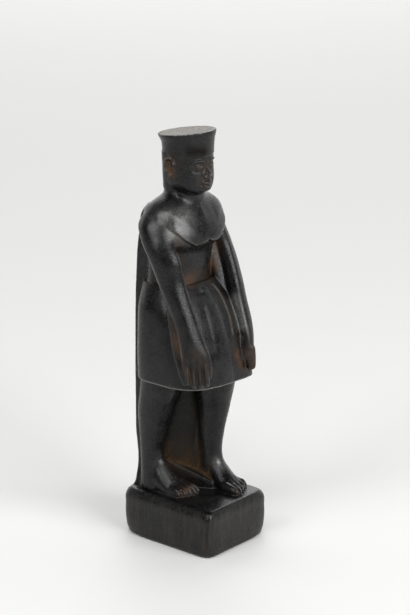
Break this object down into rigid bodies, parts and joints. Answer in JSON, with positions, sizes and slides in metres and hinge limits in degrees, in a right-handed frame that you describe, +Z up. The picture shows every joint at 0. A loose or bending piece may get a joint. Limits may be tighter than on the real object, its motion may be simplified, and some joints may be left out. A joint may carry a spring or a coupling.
{
  "type": "priest statuette",
  "caption": "Standing figure in a tall flared cap and knee-length kilt, one foot forward and hands laid on the kilt, carved with its back pillar and block plinth from one stone",
  "frame": {"origin": "centre of the plinth's flat underside, where the statuette stands", "axes": "+Z up along the figure's height, the figure faces -Y, and its right side is towards -X"},
  "size_m": [0.0542, 0.057, 0.2011],
  "materials": {
    "black_stone": "polished black fine-grained stone, greyer and matt where worn or broken, with brown patina in the recesses"
  },
  "bodies": {
    "root": {"statuette": "black_stone"}
  },
  "joints": []
}
